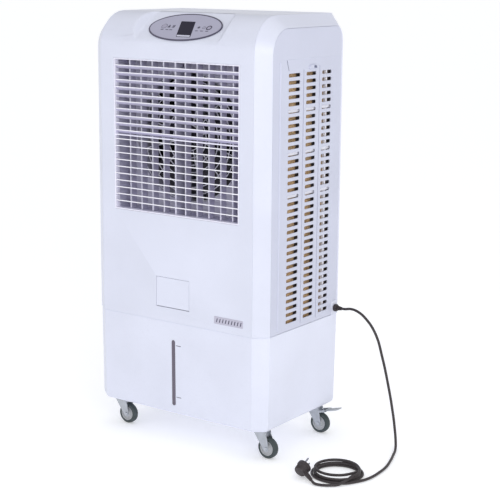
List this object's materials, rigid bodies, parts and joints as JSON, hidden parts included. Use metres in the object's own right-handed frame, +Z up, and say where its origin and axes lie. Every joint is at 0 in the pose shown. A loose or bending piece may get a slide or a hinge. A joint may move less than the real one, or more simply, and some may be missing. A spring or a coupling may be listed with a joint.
{
  "type": "evaporative cooler",
  "caption": "Tall mobile evaporative cooler: louvred outlet with fan, slotted side covers over wet pads, water tank on braked casters, coiled mains lead.",
  "frame": {"origin": "floor level, under the middle of the casing (bottom centre of the box without the lead)", "axes": "+X to the right as seen from the front, the side where the lead leaves; +Y to the back; +Z up. The outlet faces -Y."},
  "size_m": [0.9281, 0.4025, 1.208],
  "materials": {
    "casing_white": "satin moulded plastic",
    "tank_white": "satin moulded plastic",
    "cover_grey": "fine-grained moulded plastic",
    "louvre_white": "satin moulded plastic",
    "panel_silver": "printed satin film",
    "window_smoke": "tinted clear plastic",
    "pad_cellulose": "corrugated cellulose in a plastic tray",
    "fan_dark": "matt moulded plastic",
    "motor_dark": "black paint",
    "zinc": "zinc-plated pressed steel",
    "tyre_grey": "grey rubber",
    "lead_black": "matt black sheath"
  },
  "bodies": {
    "casing": {"front_panel": "casing_white", "side_frame_right": "casing_white", "side_frame_left": "casing_white", "rear_cover": "casing_white", "water_tank": "tank_white", "level_window": "window_smoke", "outlet_frame": "louvre_white", "fan_shroud": "louvre_white", "fan_motor": "motor_dark", "water_pump": "fan_dark", "control_panel": "panel_silver", "cord_gland": "lead_black", "power_cord": "lead_black", "cord_coil": "lead_black", "plug": "lead_black"},
    "fan": {"fan_impeller": "fan_dark"},
    "upper_blade_1": {"upper_blade_1": "louvre_white"},
    "upper_blade_2": {"upper_blade_2": "louvre_white"},
    "upper_blade_3": {"upper_blade_3": "louvre_white"},
    "upper_blade_4": {"upper_blade_4": "louvre_white"},
    "upper_blade_5": {"upper_blade_5": "louvre_white"},
    "upper_blade_6": {"upper_blade_6": "louvre_white"},
    "upper_blade_7": {"upper_blade_7": "louvre_white"},
    "upper_blade_8": {"upper_blade_8": "louvre_white"},
    "upper_blade_9": {"upper_blade_9": "louvre_white"},
    "upper_blade_10": {"upper_blade_10": "louvre_white"},
    "lower_blade_1": {"lower_blade_1": "louvre_white"},
    "lower_blade_2": {"lower_blade_2": "louvre_white"},
    "lower_blade_3": {"lower_blade_3": "louvre_white"},
    "lower_blade_4": {"lower_blade_4": "louvre_white"},
    "lower_blade_5": {"lower_blade_5": "louvre_white"},
    "lower_blade_6": {"lower_blade_6": "louvre_white"},
    "lower_blade_7": {"lower_blade_7": "louvre_white"},
    "lower_blade_8": {"lower_blade_8": "louvre_white"},
    "lower_blade_9": {"lower_blade_9": "louvre_white"},
    "lower_blade_10": {"lower_blade_10": "louvre_white"},
    "vane_1": {"vane_1": "louvre_white"},
    "vane_2": {"vane_2": "louvre_white"},
    "vane_3": {"vane_3": "louvre_white"},
    "vane_4": {"vane_4": "louvre_white"},
    "vane_5": {"vane_5": "louvre_white"},
    "vane_6": {"vane_6": "louvre_white"},
    "vane_7": {"vane_7": "louvre_white"},
    "vane_8": {"vane_8": "louvre_white"},
    "vane_9": {"vane_9": "louvre_white"},
    "fill_door": {"fill_door": "casing_white"},
    "side_cover_right": {"side_cover_right": "cover_grey", "cooling_pad_right": "pad_cellulose"},
    "side_cover_left": {"side_cover_left": "cover_grey", "cooling_pad_left": "pad_cellulose"},
    "caster_front_right": {"caster_fork_front_right": "zinc"},
    "wheel_front_right": {"caster_wheel_front_right": "tyre_grey"},
    "caster_front_left": {"caster_fork_front_left": "zinc"},
    "wheel_front_left": {"caster_wheel_front_left": "tyre_grey"},
    "caster_rear_right": {"caster_fork_rear_right": "zinc"},
    "wheel_rear_right": {"caster_wheel_rear_right": "tyre_grey"},
    "brake_rear_right": {"brake_pedal_rear_right": "zinc"},
    "caster_rear_left": {"caster_fork_rear_left": "zinc"},
    "wheel_rear_left": {"caster_wheel_rear_left": "tyre_grey"},
    "brake_rear_left": {"brake_pedal_rear_left": "zinc"}
  },
  "joints": [
    {"name": "fan_spin", "type": "hinge", "parent": "casing", "child": "fan", "pos_m": [0, -0.0947, 0.8695], "axis": [0, 1, 0], "continuous": true},
    {"name": "upper_blade_1_turn", "type": "hinge", "parent": "casing", "child": "upper_blade_1", "pos_m": [0, -0.1775, 0.8775], "axis": [1, 0, 0], "range_deg": [0, 84]},
    {"name": "upper_blade_2_turn", "type": "hinge", "parent": "casing", "child": "upper_blade_2", "pos_m": [0, -0.1775, 0.8975], "axis": [1, 0, 0], "range_deg": [0, 84]},
    {"name": "upper_blade_3_turn", "type": "hinge", "parent": "casing", "child": "upper_blade_3", "pos_m": [0, -0.1775, 0.9175], "axis": [1, 0, 0], "range_deg": [0, 84]},
    {"name": "upper_blade_4_turn", "type": "hinge", "parent": "casing", "child": "upper_blade_4", "pos_m": [0, -0.1775, 0.9375], "axis": [1, 0, 0], "range_deg": [0, 84]},
    {"name": "upper_blade_5_turn", "type": "hinge", "parent": "casing", "child": "upper_blade_5", "pos_m": [0, -0.1775, 0.9575], "axis": [1, 0, 0], "range_deg": [0, 84]},
    {"name": "upper_blade_6_turn", "type": "hinge", "parent": "casing", "child": "upper_blade_6", "pos_m": [0, -0.1775, 0.9775], "axis": [1, 0, 0], "range_deg": [0, 84]},
    {"name": "upper_blade_7_turn", "type": "hinge", "parent": "casing", "child": "upper_blade_7", "pos_m": [0, -0.1775, 0.9975], "axis": [1, 0, 0], "range_deg": [0, 84]},
    {"name": "upper_blade_8_turn", "type": "hinge", "parent": "casing", "child": "upper_blade_8", "pos_m": [0, -0.1775, 1.0175], "axis": [1, 0, 0], "range_deg": [0, 84]},
    {"name": "upper_blade_9_turn", "type": "hinge", "parent": "casing", "child": "upper_blade_9", "pos_m": [0, -0.1775, 1.0375], "axis": [1, 0, 0], "range_deg": [0, 84]},
    {"name": "upper_blade_10_turn", "type": "hinge", "parent": "casing", "child": "upper_blade_10", "pos_m": [0, -0.1775, 1.0575], "axis": [1, 0, 0], "range_deg": [0, 84]},
    {"name": "lower_blade_1_turn", "type": "hinge", "parent": "casing", "child": "lower_blade_1", "pos_m": [0, -0.1775, 0.8555], "axis": [1, 0, 0], "range_deg": [-33, 51]},
    {"name": "lower_blade_2_turn", "type": "hinge", "parent": "casing", "child": "lower_blade_2", "pos_m": [0, -0.1775, 0.8361], "axis": [1, 0, 0], "range_deg": [-33, 51]},
    {"name": "lower_blade_3_turn", "type": "hinge", "parent": "casing", "child": "lower_blade_3", "pos_m": [0, -0.1775, 0.8167], "axis": [1, 0, 0], "range_deg": [-33, 51]},
    {"name": "lower_blade_4_turn", "type": "hinge", "parent": "casing", "child": "lower_blade_4", "pos_m": [0, -0.1775, 0.7973], "axis": [1, 0, 0], "range_deg": [-33, 51]},
    {"name": "lower_blade_5_turn", "type": "hinge", "parent": "casing", "child": "lower_blade_5", "pos_m": [0, -0.1775, 0.7779], "axis": [1, 0, 0], "range_deg": [-33, 51]},
    {"name": "lower_blade_6_turn", "type": "hinge", "parent": "casing", "child": "lower_blade_6", "pos_m": [0, -0.1775, 0.7585], "axis": [1, 0, 0], "range_deg": [-33, 51]},
    {"name": "lower_blade_7_turn", "type": "hinge", "parent": "casing", "child": "lower_blade_7", "pos_m": [0, -0.1775, 0.7391], "axis": [1, 0, 0], "range_deg": [-33, 51]},
    {"name": "lower_blade_8_turn", "type": "hinge", "parent": "casing", "child": "lower_blade_8", "pos_m": [0, -0.1775, 0.7197], "axis": [1, 0, 0], "range_deg": [-33, 51]},
    {"name": "lower_blade_9_turn", "type": "hinge", "parent": "casing", "child": "lower_blade_9", "pos_m": [0, -0.1775, 0.7003], "axis": [1, 0, 0], "range_deg": [-33, 51]},
    {"name": "lower_blade_10_turn", "type": "hinge", "parent": "casing", "child": "lower_blade_10", "pos_m": [0, -0.1775, 0.6809], "axis": [1, 0, 0], "range_deg": [-33, 51]},
    {"name": "vane_1_turn", "type": "hinge", "parent": "casing", "child": "vane_1", "pos_m": [-0.169, -0.1545, 0.8695], "axis": [0, 0, 1], "range_deg": [-28, 52]},
    {"name": "vane_2_turn", "type": "hinge", "parent": "casing", "child": "vane_2", "pos_m": [-0.129, -0.1545, 0.8695], "axis": [0, 0, 1], "range_deg": [-28, 52]},
    {"name": "vane_3_turn", "type": "hinge", "parent": "casing", "child": "vane_3", "pos_m": [-0.089, -0.1545, 0.8695], "axis": [0, 0, 1], "range_deg": [-28, 52]},
    {"name": "vane_4_turn", "type": "hinge", "parent": "casing", "child": "vane_4", "pos_m": [-0.049, -0.1545, 0.8695], "axis": [0, 0, 1], "range_deg": [-28, 52]},
    {"name": "vane_5_turn", "type": "hinge", "parent": "casing", "child": "vane_5", "pos_m": [0.026, -0.1545, 0.8695], "axis": [0, 0, 1], "range_deg": [-28, 52]},
    {"name": "vane_6_turn", "type": "hinge", "parent": "casing", "child": "vane_6", "pos_m": [0.066, -0.1545, 0.8695], "axis": [0, 0, 1], "range_deg": [-28, 52]},
    {"name": "vane_7_turn", "type": "hinge", "parent": "casing", "child": "vane_7", "pos_m": [0.106, -0.1545, 0.8695], "axis": [0, 0, 1], "range_deg": [-28, 52]},
    {"name": "vane_8_turn", "type": "hinge", "parent": "casing", "child": "vane_8", "pos_m": [0.146, -0.1545, 0.8695], "axis": [0, 0, 1], "range_deg": [-28, 52]},
    {"name": "vane_9_turn", "type": "hinge", "parent": "casing", "child": "vane_9", "pos_m": [0.186, -0.1545, 0.8695], "axis": [0, 0, 1], "range_deg": [-28, 52]},
    {"name": "fill_door_hinge", "type": "hinge", "parent": "casing", "child": "fill_door", "pos_m": [-0.009, -0.1845, 0.3986], "axis": [1, 0, 0], "range_deg": [0, 50]},
    {"name": "side_cover_right_pull", "type": "slide", "parent": "casing", "child": "side_cover_right", "axis": [1, 0, 0], "range_m": [0, 0.15]},
    {"name": "side_cover_left_pull", "type": "slide", "parent": "casing", "child": "side_cover_left", "axis": [-1, 0, 0], "range_m": [0, 0.15]},
    {"name": "caster_front_right_swivel", "type": "hinge", "parent": "casing", "child": "caster_front_right", "pos_m": [0.252, -0.119, 0.08], "axis": [0, 0, 1], "continuous": true},
    {"name": "wheel_front_right_roll", "type": "hinge", "parent": "caster_front_right", "child": "wheel_front_right", "pos_m": [0.274, -0.119, 0.03], "axis": [0, 1, 0], "continuous": true},
    {"name": "caster_front_left_swivel", "type": "hinge", "parent": "casing", "child": "caster_front_left", "pos_m": [-0.252, -0.119, 0.08], "axis": [0, 0, 1], "continuous": true},
    {"name": "wheel_front_left_roll", "type": "hinge", "parent": "caster_front_left", "child": "wheel_front_left", "pos_m": [-0.23, -0.119, 0.03], "axis": [0, 1, 0], "continuous": true},
    {"name": "caster_rear_right_swivel", "type": "hinge", "parent": "casing", "child": "caster_rear_right", "pos_m": [0.252, 0.148, 0.08], "axis": [0, 0, 1], "continuous": true},
    {"name": "wheel_rear_right_roll", "type": "hinge", "parent": "caster_rear_right", "child": "wheel_rear_right", "pos_m": [0.274, 0.148, 0.03], "axis": [0, 1, 0], "continuous": true},
    {"name": "brake_rear_right_press", "type": "hinge", "parent": "caster_rear_right", "child": "brake_rear_right", "pos_m": [0.278, 0.148, 0.067], "axis": [0, 1, 0], "range_deg": [0, 18]},
    {"name": "caster_rear_left_swivel", "type": "hinge", "parent": "casing", "child": "caster_rear_left", "pos_m": [-0.252, 0.148, 0.08], "axis": [0, 0, 1], "continuous": true},
    {"name": "wheel_rear_left_roll", "type": "hinge", "parent": "caster_rear_left", "child": "wheel_rear_left", "pos_m": [-0.274, 0.148, 0.03], "axis": [0, 1, 0], "continuous": true},
    {"name": "brake_rear_left_press", "type": "hinge", "parent": "caster_rear_left", "child": "brake_rear_left", "pos_m": [-0.278, 0.148, 0.067], "axis": [0, -1, 0], "range_deg": [0, 18]}
  ],
  "couplings": [
    {"joint": "upper_blade_2_turn", "follows": "upper_blade_1_turn", "ratio": 1},
    {"joint": "upper_blade_3_turn", "follows": "upper_blade_1_turn", "ratio": 1},
    {"joint": "upper_blade_4_turn", "follows": "upper_blade_1_turn", "ratio": 1},
    {"joint": "upper_blade_5_turn", "follows": "upper_blade_1_turn", "ratio": 1},
    {"joint": "upper_blade_6_turn", "follows": "upper_blade_1_turn", "ratio": 1},
    {"joint": "upper_blade_7_turn", "follows": "upper_blade_1_turn", "ratio": 1},
    {"joint": "upper_blade_8_turn", "follows": "upper_blade_1_turn", "ratio": 1},
    {"joint": "upper_blade_9_turn", "follows": "upper_blade_1_turn", "ratio": 1},
    {"joint": "upper_blade_10_turn", "follows": "upper_blade_1_turn", "ratio": 1},
    {"joint": "lower_blade_2_turn", "follows": "lower_blade_1_turn", "ratio": 1},
    {"joint": "lower_blade_3_turn", "follows": "lower_blade_1_turn", "ratio": 1},
    {"joint": "lower_blade_4_turn", "follows": "lower_blade_1_turn", "ratio": 1},
    {"joint": "lower_blade_5_turn", "follows": "lower_blade_1_turn", "ratio": 1},
    {"joint": "lower_blade_6_turn", "follows": "lower_blade_1_turn", "ratio": 1},
    {"joint": "lower_blade_7_turn", "follows": "lower_blade_1_turn", "ratio": 1},
    {"joint": "lower_blade_8_turn", "follows": "lower_blade_1_turn", "ratio": 1},
    {"joint": "lower_blade_9_turn", "follows": "lower_blade_1_turn", "ratio": 1},
    {"joint": "lower_blade_10_turn", "follows": "lower_blade_1_turn", "ratio": 1},
    {"joint": "vane_2_turn", "follows": "vane_1_turn", "ratio": 1},
    {"joint": "vane_3_turn", "follows": "vane_1_turn", "ratio": 1},
    {"joint": "vane_4_turn", "follows": "vane_1_turn", "ratio": 1},
    {"joint": "vane_5_turn", "follows": "vane_1_turn", "ratio": 1},
    {"joint": "vane_6_turn", "follows": "vane_1_turn", "ratio": 1},
    {"joint": "vane_7_turn", "follows": "vane_1_turn", "ratio": 1},
    {"joint": "vane_8_turn", "follows": "vane_1_turn", "ratio": 1},
    {"joint": "vane_9_turn", "follows": "vane_1_turn", "ratio": 1}
  ]
}
